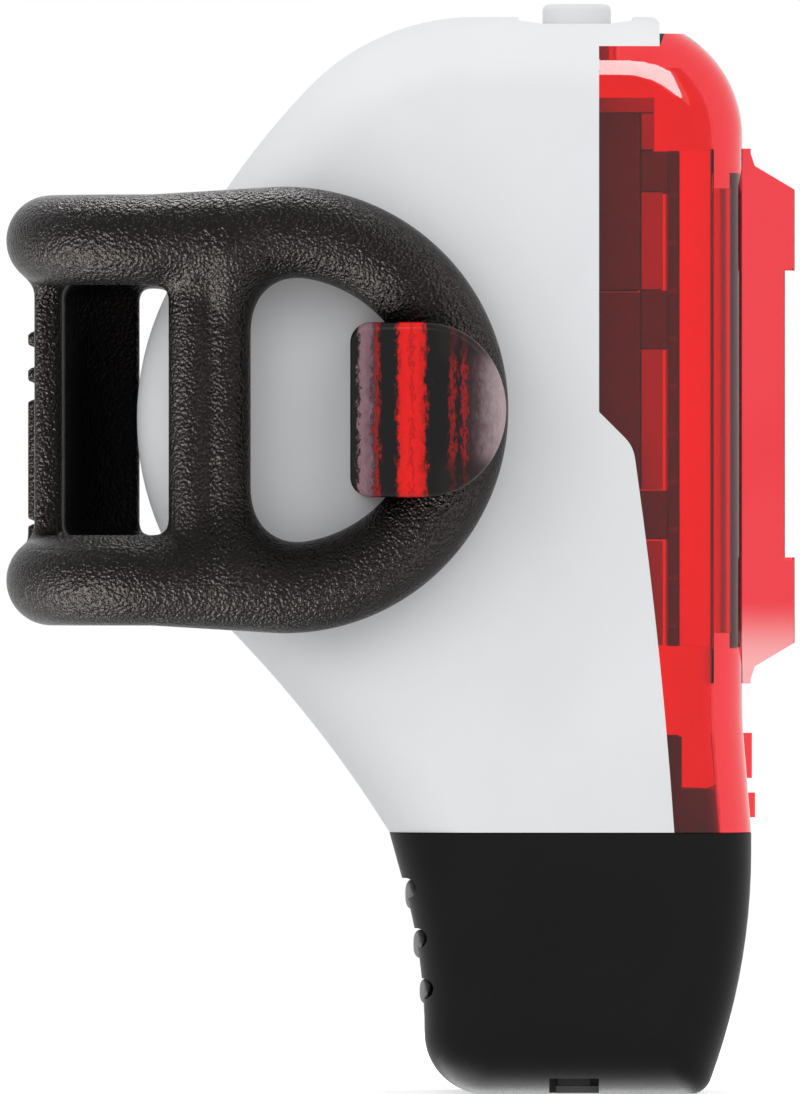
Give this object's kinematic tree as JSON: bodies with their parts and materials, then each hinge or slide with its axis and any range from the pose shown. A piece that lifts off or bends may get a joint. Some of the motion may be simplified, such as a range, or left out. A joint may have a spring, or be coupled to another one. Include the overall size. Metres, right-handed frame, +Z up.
{
  "type": "bike light",
  "caption": "Strap-on bike light with a clear red lens block, a rounded post saddle, side hooks for its rubber strap and a pull-off cap over the charging plug.",
  "frame": {"origin": "bottom of the saddle in the rounded back, where the post touches it", "axes": "+X from the post through the light to its lens, +Z up along the post, -Y the side with the strap that unhooks"},
  "size_m": [0.0462, 0.0414, 0.0639],
  "materials": {
    "white_plastic": "satin white",
    "red_clear": "clear red, polished",
    "hook_clear": "clear dark red, polished",
    "black_rubber": "matt",
    "strap_rubber": "fine grain",
    "dark_plastic": "matt",
    "grey_plastic": "matt",
    "black_plastic": "satin black",
    "board_green": "solder mask",
    "cell_wrap": "wrapped",
    "red_wire": "sleeved",
    "led_white": "white",
    "steel": "plated",
    "gilt": "plated"
  },
  "bodies": {
    "casing": {"main_shell": "white_plastic", "lens_cover": "red_clear", "optic_block": "red_clear", "optic_gasket": "black_rubber", "switch_body": "dark_plastic", "switch_board": "board_green", "board_link": "dark_plastic", "chassis_upper": "dark_plastic", "chassis_lower": "dark_plastic", "main_board": "board_green", "board_chips": "dark_plastic", "battery_cell": "cell_wrap", "battery_leads": "red_wire", "driver_blocks": "dark_plastic", "carrier_blocks": "grey_plastic", "led_board": "board_green", "led_packages": "led_white", "reflector": "led_white", "plug_collar": "black_plastic", "collar_seal": "black_rubber", "usb_plug_shell": "steel", "usb_tongue": "led_white", "usb_contacts": "gilt", "strap_hook_near": "hook_clear", "strap_hook_far": "hook_clear", "hook_screws": "steel"},
    "button": {"power_button": "white_plastic"},
    "plunger": {"switch_plunger": "dark_plastic"},
    "cap": {"end_cap": "black_plastic", "slot_insert": "grey_plastic"},
    "strap": {"strap_band": "strap_rubber"},
    "strap_loop": {"strap_loop": "strap_rubber"}
  },
  "joints": [
    {"name": "button_press", "type": "slide", "parent": "casing", "child": "button", "axis": [0, 0, -1], "range_m": [0, 0.0004], "stiffness_N_per_m": 1500},
    {"name": "plunger_press", "type": "slide", "parent": "casing", "child": "plunger", "axis": [0, 0, -1], "range_m": [0, 0.0004]},
    {"name": "cap_slide", "type": "slide", "parent": "casing", "child": "cap", "axis": [0, 0, -1], "range_m": [0, 0.018]},
    {"name": "strap_tilt", "type": "hinge", "parent": "casing", "child": "strap", "pos_m": [0.0081, 0, 0], "axis": [0, 1, 0], "range_deg": [-15, 15]},
    {"name": "strap_release", "type": "slide", "parent": "strap", "child": "strap_loop", "axis": [0.9659, -0.2588, 0], "range_m": [0, 0.0058], "stiffness_N_per_m": 400}
  ],
  "couplings": [
    {"joint": "plunger_press", "follows": "button_press", "ratio": 1}
  ]
}
